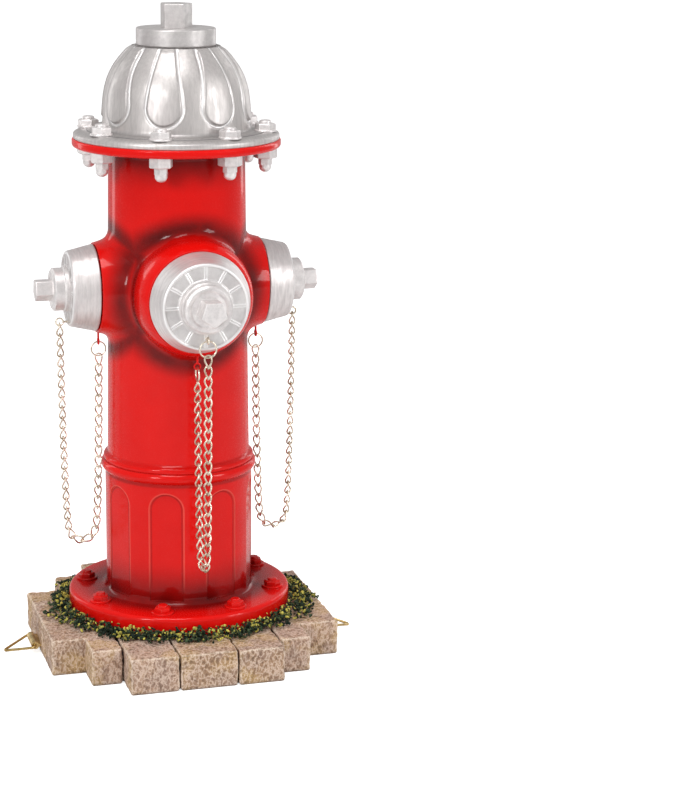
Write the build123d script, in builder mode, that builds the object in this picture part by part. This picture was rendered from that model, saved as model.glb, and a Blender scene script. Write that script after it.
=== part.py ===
"""Garden fire hydrant ornament: a cast hydrant on a paved base, with hanging chains and stake loops.

Frame: millimetres, +Z up, origin on the ground under the barrel axis, front nozzle towards -Y.
"""
import math
import os

from build123d import *

os.makedirs("parts", exist_ok=True)

# ---------------------------------------------------------------- driving dimensions
total_height = 368.0
fit_gap = 0.1                    # radial clearance of glued spigots and bolt shanks

base_thickness = 21.1            # paved base
joint_width = 1.2                # groove between two pavers
joint_depth = 3.0
edge_round = 1.2
corner_round = 2.4

base_flange_radius = 64.1        # barrel foot
base_flange_thickness = 11.1
lower_radius = 42.3
lower_bore_radius = 36.5
split_height = 109.6             # seam between the two barrel castings
spigot_length = 6.0

upper_radius_bottom = 40.8
upper_radius_top = 38.4
upper_bore_radius = 33.5
top_flange_radius = 58.4
top_flange_bottom = 289.2
top_flange_top = 293.9

bonnet_rim_radius = 57.6
bonnet_rim_top = 297.2
bonnet_land = 298.4              # flat where the bolt washers sit
bonnet_land_radius = 54.5
dome_foot_radius = 43.6
bonnet_wall = 4.0
spigot_inner = 29.5
stem_radius = 5.0
stem_length = 14.0
collar_radius = 22.2
collar_bottom = 345.0
collar_top = 354.8
operating_nut_radius = 9.5       # centre to corner of the five-sided nut
nut_turn = -20.0                 # the nut's front flat looks a little to the left

bolt_count = 8
first_bolt_angle = -90.0 + 22.5
bonnet_bolt_circle = 50.0
base_bolt_circle = 55.0
bolt_shank_radius = 2.0
stone_bolt_depth = 3.0

nozzle_height = 210.5
side_seam, side_face, side_collar_face, side_nut_tip = 47.6, 63.5, 72.3, 81.5
front_seam, front_face, front_collar_face, front_nut_tip = 55.0, 69.5, 77.5, 89.5

eye_wire = 0.5                   # radii of round wire
link_wire = 0.5
ring_wire = 0.45
link_gap = 0.4                   # air between two hooked wires
link_pitch = 6.0
link_inner_half_width = 1.55
body_ring_radius = 4.1           # to the middle of the wire
body_eye_radius = 1.7
eye_shank_radius = 0.6
eye_boss_radius = 2.2
body_eye_shank = 8.0             # from the middle of the loop up into the boss
cap_eyes = {                     # name: (reach from the barrel axis, height, radius of the loop)
    "left": (67.9, 191.7, 2.1), "right": (67.9, 191.7, 2.1), "front": (73.9, 193.2, 1.7)}
body_eyes = {                    # name: (reach from the barrel axis, height of the loop's middle)
    "left": (46.0, 179.6), "right": (46.0, 179.6), "front": (48.5, 173.2)}
chain_links = {"left": 41, "right": 41, "front": 40}
front_ring_radius = 4.6
largest_link_turn = 44.0         # degrees between two hooked links before their wires jam

loop_wire = 0.75
loop_reach = 18.0
loop_half_width = 12.0
sleeve_length = 18.0
sleeve_radius = 2.2
sleeve_bore = loop_wire + 0.08
sleeve_height = 5.5
sleeve_standoff = 3.0            # sleeve axis to the side of the base
tab_thickness = 1.2
tab_depth = 5.0

flange_top = base_thickness + base_flange_thickness


def save(name, piece):
    """Label a finished piece and write it to its own STEP file."""
    piece.label = name
    export_step(piece, f"parts/{name}.step")


def outward(angle):
    """The level direction that points away from the barrel axis at the angle."""
    return Vector(math.cos(math.radians(angle)), math.sin(math.radians(angle)), 0)


def facing_plane(angle, distance):
    """A plane square to the outward direction, X level and Y up, seen from outside."""
    out = outward(angle)
    return Plane(origin=out * distance, x_dir=outward(angle + 90), z_dir=out)


def profile_plane(angle, height):
    """An upright plane through the barrel axis: X points outwards, Y up from the height."""
    return Plane(origin=(0, 0, height), x_dir=outward(angle), z_dir=outward(angle - 90))


def nozzle_axis(angle):
    """The centre line of a nozzle, pointing outwards."""
    return Axis((0, 0, nozzle_height), outward(angle))


# ---------------------------------------------------------------- paved base
left_side, right_side = -84.5, 81.0
front_side, back_side = -91.0, 84.0
base_outline = [                 # stepped outline of the pavers, counter-clockwise from the front left
    (-48, front_side), (40.2, front_side), (40.2, -79), (58.5, -79), (58.5, -57),
    (right_side, -57), (right_side, 38), (61, 38), (61, 62), (42, 62),
    (42, back_side), (-44, back_side), (-44, 62), (-64, 62), (-64, 38),
    (left_side, 38), (left_side, -50), (-66, -50), (-66, -71.5), (-48, -71.5),
]
front_joints = [-20.0, 13.2]
side_joints = [(-66.0, left_side, -17.0), (-66.0, left_side, 14.0),
               (60.0, right_side, -24.0), (60.0, right_side, 8.0)]
back_joints = [-16.0, 14.0]

with BuildPart() as stone_base:
    with BuildSketch():
        with BuildLine():
            Polyline(*base_outline, close=True)
        make_face()
        fillet(vertices(), corner_round)
    extrude(amount=base_thickness)
    fillet(faces().sort_by(Axis.Z)[-1].edges(), edge_round)
    with BuildSketch(Plane.XY.offset(base_thickness)):
        for x in front_joints:
            with Locations((x, -81.5)):
                Rectangle(joint_width, 24)
        for x in back_joints:
            with Locations((x, 76)):
                Rectangle(joint_width, 22)
        for x_in, x_out, y in side_joints:
            with Locations(((x_in + x_out) / 2, y)):
                Rectangle(abs(x_out - x_in) + 4, joint_width)
    extrude(amount=-joint_depth, mode=Mode.SUBTRACT)
    with BuildSketch():
        for x in front_joints:
            with Locations((x, front_side)):
                Rectangle(joint_width, 2 * joint_depth)
        for x in back_joints:
            with Locations((x, back_side)):
                Rectangle(joint_width, 2 * joint_depth)
        for x_in, x_out, y in side_joints:
            with Locations((x_out, y)):
                Rectangle(2 * joint_depth, joint_width)
    extrude(amount=base_thickness, mode=Mode.SUBTRACT)
    with BuildSketch(Plane.XY.offset(base_thickness)):
        Circle(lower_bore_radius - fit_gap)
    extrude(amount=4.0)
    with BuildSketch(Plane.XY.offset(base_thickness)):
        with PolarLocations(base_bolt_circle, bolt_count, start_angle=first_bolt_angle):
            Circle(bolt_shank_radius + fit_gap)
    extrude(amount=-stone_bolt_depth - 1, mode=Mode.SUBTRACT)
    for side, x_face, y_loop in ((-1, left_side, -4.0), (1, right_side, -13.0)):
        with BuildSketch(Plane.XY.offset(sleeve_height - tab_thickness / 2 - fit_gap)):
            with Locations((x_face - side * (tab_depth + fit_gap) / 2, y_loop)):
                Rectangle(tab_depth + fit_gap, sleeve_length + 2 * fit_gap)
        extrude(amount=tab_thickness + 2 * fit_gap, mode=Mode.SUBTRACT)
save("stone_base", stone_base.part)

moss_inner, moss_outer, moss_height = base_flange_radius + 0.4, 73.0, 7.5
with BuildPart() as moss_ring:
    with BuildSketch(Plane.XZ):
        with BuildLine():
            Line((moss_inner, base_thickness + 0.1), (moss_outer, base_thickness + 0.1))
            Bezier((moss_outer, base_thickness + 0.1), (moss_outer, base_thickness + moss_height),
                   (moss_inner, base_thickness + moss_height))
            Line((moss_inner, base_thickness + moss_height), (moss_inner, base_thickness + 0.1))
        make_face()
    revolve(axis=Axis.Z)
save("moss_ring", moss_ring.part)

# ---------------------------------------------------------------- barrel
arch_width, arch_spring, arch_flat = 19.4, 88.2, 40.9
foot_height, foot_radius = 4.0, 46.4
lower_bead_radius, upper_bead_radius = 44.6, 43.2

with BuildPart() as lower_barrel:
    with BuildSketch(Plane.XZ):
        with BuildLine():
            Polyline((lower_bore_radius, base_thickness), (base_flange_radius - 0.5, base_thickness),
                     (base_flange_radius, base_thickness + 0.5), (base_flange_radius, flange_top - 2.2))
            RadiusArc((base_flange_radius, flange_top - 2.2), (base_flange_radius - 2.2, flange_top), -2.2)
            Line((base_flange_radius - 2.2, flange_top), (foot_radius, flange_top))
            RadiusArc((foot_radius, flange_top), (lower_radius, flange_top + foot_height), 4.1)
            Line((lower_radius, flange_top + foot_height), (lower_radius, 103.2))
            RadiusArc((lower_radius, 103.2), (lower_radius + 0.6, 103.8), 0.6)
            ThreePointArc((lower_radius + 0.6, 103.8), (lower_bead_radius, 106.7),
                          (lower_radius + 0.8, split_height))
            Polyline((lower_radius + 0.8, split_height), (lower_bore_radius, split_height),
                     (lower_bore_radius, base_thickness))
        make_face()
    revolve(axis=Axis.Z)
    for index in range(bolt_count):
        with BuildSketch(facing_plane(first_bolt_angle + index * 360 / bolt_count, arch_flat)):
            with BuildLine():
                Line((-arch_width / 2, flange_top + 2), (-arch_width / 2, arch_spring))
                ThreePointArc((-arch_width / 2, arch_spring), (0, arch_spring + arch_width / 2),
                              (arch_width / 2, arch_spring))
                Polyline((arch_width / 2, arch_spring), (arch_width / 2, flange_top + 2),
                         (-arch_width / 2, flange_top + 2))
            make_face()
        extrude(amount=4, mode=Mode.SUBTRACT)
    with BuildSketch(Plane.XY.offset(flange_top)):
        with PolarLocations(base_bolt_circle, bolt_count, start_angle=first_bolt_angle):
            Circle(bolt_shank_radius + fit_gap)
    extrude(amount=-base_flange_thickness, mode=Mode.SUBTRACT)
save("lower_barrel", lower_barrel.part)

side_boss = [(10, 31.6), (36, 29.4), (44, 26.4), (side_seam, 25.4)]
front_boss = [(10, 33.6), (40, 33.0), (48, 32.0), (53.0, 30.2), (front_seam, 28.8)]
nozzles = [                      # (name, angle, boss outline, bore radius, seam)
    ("left", 180.0, side_boss, 20.0, side_seam),
    ("right", 0.0, side_boss, 20.0, side_seam),
    ("front", -90.0, front_boss, 23.5, front_seam),
]
boss_fillet = 6.5
neck_fillet = 4.0
spigot_radius = lower_bore_radius - fit_gap

with BuildPart() as upper_barrel:
    with BuildSketch(Plane.XZ):
        with BuildLine():
            Line((0, split_height), (upper_bead_radius - 0.4, split_height))
            ThreePointArc((upper_bead_radius - 0.4, split_height), (upper_bead_radius, 111.2),
                          (upper_bead_radius - 1.0, 112.9))
            ThreePointArc((upper_bead_radius - 1.0, 112.9), (upper_radius_bottom + 0.7, 113.4),
                          (upper_radius_bottom, 114.2))
            Line((upper_radius_bottom, 114.2), (upper_radius_top, top_flange_bottom - neck_fillet))
            RadiusArc((upper_radius_top, top_flange_bottom - neck_fillet),
                      (upper_radius_top + neck_fillet, top_flange_bottom), neck_fillet)
            Line((upper_radius_top + neck_fillet, top_flange_bottom), (top_flange_radius - 1.8, top_flange_bottom))
            RadiusArc((top_flange_radius - 1.8, top_flange_bottom),
                      (top_flange_radius, top_flange_bottom + 1.8), -1.8)
            Line((top_flange_radius, top_flange_bottom + 1.8), (top_flange_radius, top_flange_top - 1.2))
            RadiusArc((top_flange_radius, top_flange_top - 1.2), (top_flange_radius - 1.2, top_flange_top), -1.2)
            Polyline((top_flange_radius - 1.2, top_flange_top), (0, top_flange_top), (0, split_height))
        make_face()
    revolve(axis=Axis.Z)
    for name, angle, boss, bore, seam in nozzles:
        with BuildSketch(profile_plane(angle, nozzle_height)):
            with BuildLine():
                Line((0, 0), (0, boss[0][1]))
                Line((0, boss[0][1]), boss[0])
                Spline(*boss)
                Line(boss[-1], (seam, 0))
                Line((seam, 0), (0, 0))
            make_face()
        revolve(axis=nozzle_axis(angle))
    fillet(edges().filter_by(GeomType.BSPLINE), boss_fillet)
    with BuildSketch(Plane.XY.offset(split_height)):
        Circle(upper_bore_radius)
    extrude(amount=top_flange_top - split_height, mode=Mode.SUBTRACT)
    for name, angle, boss, bore, seam in nozzles:
        with BuildSketch(facing_plane(angle, upper_bore_radius - 10)):
            with Locations((0, nozzle_height)):
                Circle(bore)
        extrude(amount=40, mode=Mode.SUBTRACT)
    with BuildSketch(Plane.XY.offset(split_height - spigot_length)):
        Circle(spigot_radius)
        Circle(upper_bore_radius, mode=Mode.SUBTRACT)
    extrude(amount=spigot_length)
    with BuildSketch(Plane.XY.offset(top_flange_top)):
        with PolarLocations(bonnet_bolt_circle, bolt_count, start_angle=first_bolt_angle):
            Circle(bolt_shank_radius + fit_gap)
    extrude(amount=top_flange_bottom - top_flange_top, mode=Mode.SUBTRACT)
    for name, angle, boss, bore, seam in nozzles:
        reach, loop_height = body_eyes[name]
        with BuildSketch(Plane.XY.offset(loop_height)):
            with Locations(outward(angle) * reach):
                Circle(eye_shank_radius + fit_gap / 2)
        extrude(amount=body_eye_shank + fit_gap, mode=Mode.SUBTRACT)
save("upper_barrel", upper_barrel.part)

# ---------------------------------------------------------------- bonnet
dome_outline = [                 # (radius, height, direction of the surface normal above level)
    (41.4, 301.5, 0), (40.7, 310, 5), (38.7, 323.6, 18), (34.3, 333.6, 36), (24.6, collar_bottom, 46),
]
panel_width, panel_bottom, panel_top_width = 21.0, 303.6, 9.0
panel_depth = 0.9


def dome_points(shift):
    """Points of the dome outline, moved outwards along the surface normal."""
    return [(r + shift * math.cos(math.radians(t)), z + shift * math.sin(math.radians(t)))
            for r, z, t in dome_outline]


with BuildPart() as panel_outline:
    with BuildSketch(facing_plane(first_bolt_angle, 0)) as teardrop:
        bottom_radius = panel_width / 2
        round_height = panel_bottom + bottom_radius
        with BuildLine():
            arc = ThreePointArc((-bottom_radius, round_height), (0, panel_bottom), (bottom_radius, round_height))
            right = Spline((bottom_radius, round_height), (panel_top_width / 2, collar_bottom + 6),
                           tangents=((0, 1), (-0.25, 1)))
            left = Spline((-bottom_radius, round_height), (-panel_top_width / 2, collar_bottom + 6),
                          tangents=((0, 1), (0.25, 1)))
            Line(left @ 1, right @ 1)
        make_face()
    extrude(amount=70)

with BuildPart() as panel_cutter:
    with BuildSketch(Plane.XZ):
        with BuildLine():
            floor_line = Spline(*dome_points(-panel_depth))
            Polyline(floor_line @ 0, (70, 301.5), (70, 360), (floor_line.position_at(1).X, 360), floor_line @ 1)
        make_face()
    revolve(axis=Axis.Z)
    add(panel_outline.part, mode=Mode.INTERSECT)

with BuildPart() as bonnet:
    with BuildSketch(Plane.XZ):
        with BuildLine():
            skin = Spline(*dome_points(0))
            lining = Spline(*dome_points(-bonnet_wall))
            Polyline(skin @ 1, (stem_radius + fit_gap, collar_bottom),
                     (stem_radius + fit_gap, (lining @ 1).Y), lining @ 1)
            Polyline(lining @ 0, ((lining @ 0).X, 300), (spigot_inner, 297), (spigot_inner, top_flange_top - 4),
                     (upper_bore_radius - fit_gap, top_flange_top - 4),
                     (upper_bore_radius - fit_gap, top_flange_top), (bonnet_rim_radius - 0.4, top_flange_top),
                     (bonnet_rim_radius, top_flange_top + 0.4), (bonnet_rim_radius, bonnet_rim_top - 0.9),
                     (bonnet_rim_radius - 0.9, bonnet_rim_top), (bonnet_land_radius, bonnet_land),
                     (dome_foot_radius, bonnet_land))
            RadiusArc((dome_foot_radius, bonnet_land), skin @ 0, 3.0)
        make_face()
    revolve(axis=Axis.Z)
    with BuildSketch(Plane.XY.offset(bonnet_land)):
        with PolarLocations(bonnet_bolt_circle, bolt_count, start_angle=first_bolt_angle):
            Circle(bolt_shank_radius + fit_gap)
    extrude(amount=top_flange_top - bonnet_land, mode=Mode.SUBTRACT)
    with PolarLocations(0, bolt_count):
        add(panel_cutter.part, mode=Mode.SUBTRACT)
save("bonnet", bonnet.part)

with BuildPart() as bonnet_collar:
    with BuildSketch(Plane.XY.offset(collar_bottom)):
        Circle(collar_radius)
        Circle(stem_radius + fit_gap, mode=Mode.SUBTRACT)
    extrude(amount=collar_top - collar_bottom)
    fillet(edges().filter_by(GeomType.CIRCLE).group_by(SortBy.RADIUS)[-1], 0.9)
save("bonnet_collar", bonnet_collar.part)

with BuildPart() as operating_nut:
    with BuildSketch(Plane.XY.offset(collar_top)):
        RegularPolygon(operating_nut_radius, 5, rotation=-90 + nut_turn - 36)
        fillet(vertices(), 1.0)
    extrude(amount=total_height - collar_top)
    fillet(edges().group_by(Axis.Z)[-1], 0.7)
    with BuildSketch(Plane.XY.offset(collar_top)):
        Circle(stem_radius)
    extrude(amount=-stem_length)
save("operating_nut", operating_nut.part)

# ---------------------------------------------------------------- flange fasteners


def hex_bolt(head_height, across_corners, shank_length, tip_height):
    """A bolt standing on Z = 0: hexagon head, domed tip above it, round shank below."""
    with BuildPart() as bolt:
        with BuildSketch():
            RegularPolygon(across_corners / 2, 6)
        extrude(amount=head_height)
        chamfer(edges().group_by(Axis.Z)[-1], 0.5)
        with BuildSketch(Plane.XY.offset(head_height)):
            Circle(across_corners * 0.29)
        extrude(amount=tip_height)
        fillet(edges().group_by(Axis.Z)[-1], tip_height * 0.6)
        with BuildSketch():
            Circle(bolt_shank_radius)
        extrude(amount=-shank_length)
    return bolt.part


def flat_washer(radius, thickness):
    """A washer standing on Z = 0."""
    with BuildPart() as washer:
        with BuildSketch():
            Circle(radius)
            Circle(bolt_shank_radius + fit_gap, mode=Mode.SUBTRACT)
        extrude(amount=thickness)
        fillet(edges().group_by(Axis.Z)[-1].group_by(SortBy.RADIUS)[-1], thickness * 0.4)
    return washer.part


def ring_of(piece, radius, height):
    """Eight copies of a piece on a bolt circle, as a group of separate solids."""
    with BuildPart() as group:
        with Locations(Location((0, 0, height))):
            with PolarLocations(radius, bolt_count, start_angle=first_bolt_angle):
                add(piece)
    return group.part


washer_radius, washer_thickness = 6.3, 1.2
base_bolt = hex_bolt(2.6, 9.6, base_flange_thickness + washer_thickness + stone_bolt_depth, 1.3)
save("base_washers", ring_of(flat_washer(washer_radius, washer_thickness), base_bolt_circle, flange_top))
save("base_bolts", ring_of(base_bolt, base_bolt_circle, flange_top + washer_thickness))

collar_nut_height, collar_nut_width = 5.7, 13.4
acorn_radius, acorn_height = 3.9, 7.8
joint_stack = bonnet_land - top_flange_bottom
bonnet_bolt = hex_bolt(3.4, 11.8, joint_stack + washer_thickness + collar_nut_height + 4, 1.8)
save("bonnet_washers", ring_of(flat_washer(washer_radius, washer_thickness), bonnet_bolt_circle, bonnet_land))
save("bonnet_bolts", ring_of(bonnet_bolt, bonnet_bolt_circle, bonnet_land + washer_thickness))

with BuildPart() as collar_nut:
    with BuildSketch():
        RegularPolygon(collar_nut_width / 2, 6)
        Circle(bolt_shank_radius + fit_gap, mode=Mode.SUBTRACT)
    extrude(amount=-collar_nut_height)
    chamfer(faces().sort_by(Axis.Z)[0].outer_wire().edges(), 0.6)
save("bonnet_nuts", ring_of(collar_nut.part, bonnet_bolt_circle, top_flange_bottom))

with BuildPart() as acorn_nut:
    with BuildSketch():
        RegularPolygon(acorn_radius, 6)
    extrude(amount=-acorn_height * 0.45)
    with BuildSketch(Plane.XY.offset(-acorn_height * 0.45)):
        Circle(acorn_radius * 0.88)
    extrude(amount=-acorn_height * 0.55)
    fillet(faces().sort_by(Axis.Z)[0].edges(), acorn_radius * 0.8)
    with BuildSketch():
        Circle(bolt_shank_radius + fit_gap)
    extrude(amount=-4.5, mode=Mode.SUBTRACT)
save("acorn_nuts", ring_of(acorn_nut.part, bonnet_bolt_circle, top_flange_bottom - collar_nut_height))

# ---------------------------------------------------------------- nozzle caps
cap_wall = 3.0
cap_seam_gap = 0.4
plug_radius = 4.0
caps = [                         # name, angle, seam, rim radius, face, face radius, collar radius, bore
    ("left", 180.0, side_seam, 24.5, side_face, 21.2, 12.7, 20.0),
    ("right", 0.0, side_seam, 24.5, side_face, 21.2, 12.7, 20.0),
    ("front", -90.0, front_seam, 28.2, front_face, 24.0, 13.9, 23.5),
]
rib_count, rib_width, rib_height = 12, 0.9, 0.6


def turned(angle, outline):
    """Turn a closed outline of (reach, radius) points about a nozzle's centre line."""
    with BuildPart() as body:
        with BuildSketch(profile_plane(angle, nozzle_height)):
            with BuildLine():
                Polyline(*outline, close=True)
            make_face()
        revolve(axis=nozzle_axis(angle))
    return body.part


for name, angle, seam, rim, face, face_radius, collar, bore in caps:
    start = seam + cap_seam_gap
    reach, eye_height, loop_radius = cap_eyes[name]
    with BuildPart() as cap:
        add(turned(angle, [
            (seam - 6, bore - fit_gap), (start, bore - fit_gap), (start, rim - 0.4), (start + 0.5, rim),
            (face - 1.1, face_radius + 0.3), (face - 0.3, face_radius - 0.3), (face, face_radius - 0.9),
            (face, face_radius - 2.4), (face - rib_height, face_radius - 2.8),
            (face - rib_height, collar + 1.6), (face, collar + 1.2), (face, plug_radius + fit_gap),
            (face - 5, plug_radius + fit_gap), (face - 5, bore - cap_wall), (seam - 6, bore - cap_wall)]))
        with BuildSketch(facing_plane(angle, face - rib_height - 0.4)):
            with Locations((0, nozzle_height)):
                with PolarLocations((collar + face_radius - 1.2) / 2, rib_count):
                    Rectangle(face_radius - collar - 2.6, rib_width)
        extrude(amount=rib_height + 0.4)
        with BuildSketch(facing_plane(angle, face - 1)):
            with Locations((0, eye_height)):
                Circle(eye_boss_radius)
        extrude(amount=1 + 0.5)
        with BuildSketch(facing_plane(angle, face - 4)):
            with Locations((0, eye_height)):
                Circle(eye_shank_radius + fit_gap / 2)
        extrude(amount=6, mode=Mode.SUBTRACT)
    save(f"{name}_cap", cap.part)

cap_nuts = [                     # name, angle, face, collar radius, collar face, tip, nut radius
    ("left", 180.0, side_face, 12.7, side_collar_face, side_nut_tip, 6.6),
    ("right", 0.0, side_face, 12.7, side_collar_face, side_nut_tip, 6.6),
    ("front", -90.0, front_face, 13.9, front_collar_face, front_nut_tip, 7.6),
]
for name, angle, face, collar, collar_face, tip, nut_radius in cap_nuts:
    with BuildPart() as cap_nut:
        add(turned(angle, [
            (face - 4.5, 0), (face - 4.5, plug_radius), (face, plug_radius), (face, collar),
            (face + 2.0, collar), (face + 2.6, collar - 0.6), (collar_face - 1.0, collar - 0.6),
            (collar_face, collar - 1.8), (collar_face, collar - 3.2), (collar_face - 0.7, collar - 4.4),
            (collar_face - 0.3, nut_radius), (collar_face - 0.3, 0)]))
        with BuildSketch(facing_plane(angle, collar_face - 1)):
            with Locations((0, nozzle_height)):
                RegularPolygon(nut_radius, 5, rotation=126)
            fillet(vertices(), 0.7)
        extrude(amount=tip - collar_face + 1)
        end_face = faces().sort_by(nozzle_axis(angle))[-1]
        fillet(end_face.edges(), 0.6)
    save(f"{name}_cap_nut", cap_nut.part)

# ---------------------------------------------------------------- eyes, rings and chains
nozzle_angles = {"left": 180.0, "right": 0.0, "front": -90.0}
hook_offset = eye_wire + link_gap / 2          # from the middle of an eye's wire to the hooking point


def wire_loop(plane, radius, wire):
    """A ring of round wire lying in the plane, centred on the plane's origin."""
    with BuildPart() as ring:
        with Locations(plane.location):
            Torus(radius, wire)
    return ring.part


def at(angle, reach, height):
    """A point at a reach from the barrel axis along the angle, at a height."""
    return outward(angle) * reach + Vector(0, 0, height)


def hanging_slopes(span, drop, count):
    """Slopes of equal links in a free hanging chain.

    The tension's level part is the same everywhere and its upright part grows by one link's weight
    per link, so each link's slope is the last one's plus a constant: slope = bend * (number - lowest).
    Around the lowest point the turn from link to link stops where their wires jam.
    Both unknowns are found by halving until the links span the given width and drop.
    """
    def slopes(bend, lowest):
        turn = math.radians(largest_link_turn)
        steps = [number - lowest for number in range(count)]
        leans = [min(turn * abs(step), math.atan(bend * abs(step))) for step in steps]
        return [math.copysign(math.tan(lean), step) for lean, step in zip(leans, steps)]

    def width(values):
        return sum(link_pitch / math.hypot(1, value) for value in values)

    def rise(values):
        return sum(link_pitch * value / math.hypot(1, value) for value in values)

    def fitted(lowest):
        loose, tight = 0.001, 50.0
        for _ in range(60):
            middle = math.sqrt(loose * tight)
            if width(slopes(middle, lowest)) > span:
                loose = middle
            else:
                tight = middle
        return slopes(tight, lowest)

    early, late = 0.0, count - 1.0
    for _ in range(50):
        lowest = (early + late) / 2
        if rise(fitted(lowest)) > drop:
            early = lowest
        else:
            late = lowest
    return fitted(lowest)


with BuildPart() as chain_link:
    half_straight = (link_pitch + link_gap) / 2 - link_inner_half_width
    middle_radius = link_inner_half_width + link_wire
    with BuildSketch(Plane.YZ.offset(-half_straight)):
        with Locations((-middle_radius, 0), (middle_radius, 0)):
            Circle(link_wire)
    extrude(amount=2 * half_straight)
    for end in (-1, 1):
        with BuildSketch(Plane.YZ.offset(end * half_straight)):
            with Locations((middle_radius, 0)):
                Circle(link_wire)
        revolve(axis=Axis((end * half_straight, 0, 0), (0, 0, -end)), revolution_arc=180)

for name, angle in nozzle_angles.items():
    reach, height, loop_radius = cap_eyes[name]
    side = outward(angle + 90)
    eye_plane = Plane(origin=at(angle, reach, height), x_dir=outward(angle), z_dir=side)
    face = front_face if name == "front" else side_face
    with BuildPart() as cap_eye:
        with BuildSketch(facing_plane(angle, face - 3)):
            with Locations((0, height)):
                Circle(eye_shank_radius)
        extrude(amount=reach - loop_radius - face + 3)
        add(wire_loop(eye_plane, loop_radius, eye_wire))
    save(f"{name}_cap_eye", cap_eye.part)

    body_reach, body_height = body_eyes[name]
    with BuildPart() as body_eye:
        with BuildSketch(Plane.XY.offset(body_height + body_eye_radius)):
            with Locations(outward(angle) * body_reach):
                Circle(eye_shank_radius)
        extrude(amount=body_eye_shank - body_eye_radius)
        across = Plane(origin=at(angle, body_reach, body_height), x_dir=side, z_dir=outward(angle))
        add(wire_loop(across, body_eye_radius, eye_wire))
    save(f"{name}_body_eye", body_eye.part)

    ring_height = (body_height - body_eye_radius + eye_wire + link_gap + ring_wire) - body_ring_radius
    ring_plane = Plane(origin=at(angle, body_reach, ring_height), x_dir=outward(angle), z_dir=side)
    save(f"{name}_body_ring", wire_loop(ring_plane, body_ring_radius, ring_wire))

    hook = height - loop_radius + hook_offset
    if name == "front":
        hang_height = hook + link_gap / 2 + ring_wire - front_ring_radius
        cap_ring_plane = Plane(origin=at(angle, reach, hang_height), x_dir=side, z_dir=outward(angle))
        save("front_cap_ring", wire_loop(cap_ring_plane, front_ring_radius, ring_wire))
        hook = hang_height - front_ring_radius + ring_wire + link_gap / 2
    end_hook = ring_height - body_ring_radius + ring_wire + link_gap / 2

    count = chain_links[name]
    point = at(angle, reach, hook)
    places = []
    for number, slope in enumerate(hanging_slopes(reach - body_reach, end_hook - hook, count)):
        along = (outward(angle) * -1 + Vector(0, 0, slope)).normalized()
        crosswise = (number + (name == "front")) % 2 == 0
        normal = side.cross(along) if crosswise else side
        places.append(Plane(origin=point + along * (link_pitch / 2), x_dir=along, z_dir=normal).location)
        point = point + along * link_pitch
    with BuildPart() as chain:
        with Locations(*places):
            add(chain_link.part)
    save(f"{name}_chain", chain.part)

# ---------------------------------------------------------------- stake loops
for name, side, x_face, y_loop in (("left", -1, left_side, -4.0), ("right", 1, right_side, -13.0)):
    axis_x = x_face + side * sleeve_standoff
    with BuildPart() as sleeve:
        with BuildSketch(Plane.XZ.offset(-y_loop - sleeve_length / 2)):
            with Locations((axis_x, sleeve_height)):
                Circle(sleeve_radius)
            with Locations(((axis_x + x_face - side * tab_depth) / 2, sleeve_height)):
                Rectangle(abs(axis_x - x_face) + tab_depth, tab_thickness)
            with Locations((axis_x, sleeve_height)):
                Circle(sleeve_bore, mode=Mode.SUBTRACT)
        extrude(amount=sleeve_length)
    save(f"{name}_loop_sleeve", sleeve.part)

    tilt = math.asin((sleeve_height - loop_wire - 0.1) / loop_reach)
    down_out = Vector(side * math.cos(tilt), 0, -math.sin(tilt))
    loop_plane = Plane(origin=(axis_x, y_loop, sleeve_height), x_dir=down_out,
                       z_dir=Vector(0, 1, 0).cross(down_out) * -1)
    with BuildPart() as stake_loop:
        with BuildLine(loop_plane):
            corners = FilletPolyline((0, loop_half_width), (loop_reach, 0), (0, -loop_half_width),
                                     radius=1.6, close=True)
        with BuildSketch(Plane(origin=corners @ 0, z_dir=corners % 0)):
            Circle(loop_wire)
        sweep()
    save(f"{name}_stake_loop", stake_loop.part)
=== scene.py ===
# %% [markdown]
# # A garden fire hydrant ornament
# The real object is a cast and hand-painted garden ornament: a red barrel with silver caps on a small
# paved base. The fixed frame already holds every casting, bolt and eye in its true place, so this lesson
# only adds what paint and fine modelling add: pavers, moss, twisted chain links, ribbed caps, finishes.
# Everything is in metres; the millimetre constant keeps the sizes readable.

# %% Load the frame
import math

import bpy
import numpy as np
from mathutils import Matrix, Vector


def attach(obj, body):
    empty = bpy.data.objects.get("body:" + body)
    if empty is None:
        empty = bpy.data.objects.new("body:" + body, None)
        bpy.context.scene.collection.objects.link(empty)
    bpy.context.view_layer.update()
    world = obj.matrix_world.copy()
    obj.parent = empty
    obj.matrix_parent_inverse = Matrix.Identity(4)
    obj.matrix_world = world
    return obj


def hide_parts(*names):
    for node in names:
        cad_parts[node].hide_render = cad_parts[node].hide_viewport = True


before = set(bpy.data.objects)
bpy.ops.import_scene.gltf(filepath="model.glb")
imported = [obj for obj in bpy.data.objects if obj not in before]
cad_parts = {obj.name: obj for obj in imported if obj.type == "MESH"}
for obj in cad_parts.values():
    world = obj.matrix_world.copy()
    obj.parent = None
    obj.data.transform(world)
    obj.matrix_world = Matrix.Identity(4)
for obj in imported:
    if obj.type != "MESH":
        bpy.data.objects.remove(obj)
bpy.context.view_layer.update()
MM = 0.001
HYDRANT = "hydrant"

# %% [markdown]
# ## Camera
# The camera is placed first, because every later choice is judged through it. A long lens from a little
# above and to the left shows the front cap nearly face on, with the tops of the pavers in view.
# The direction is given as a turn and a tilt; the three columns of the matrix are right, up and backwards.

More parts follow.
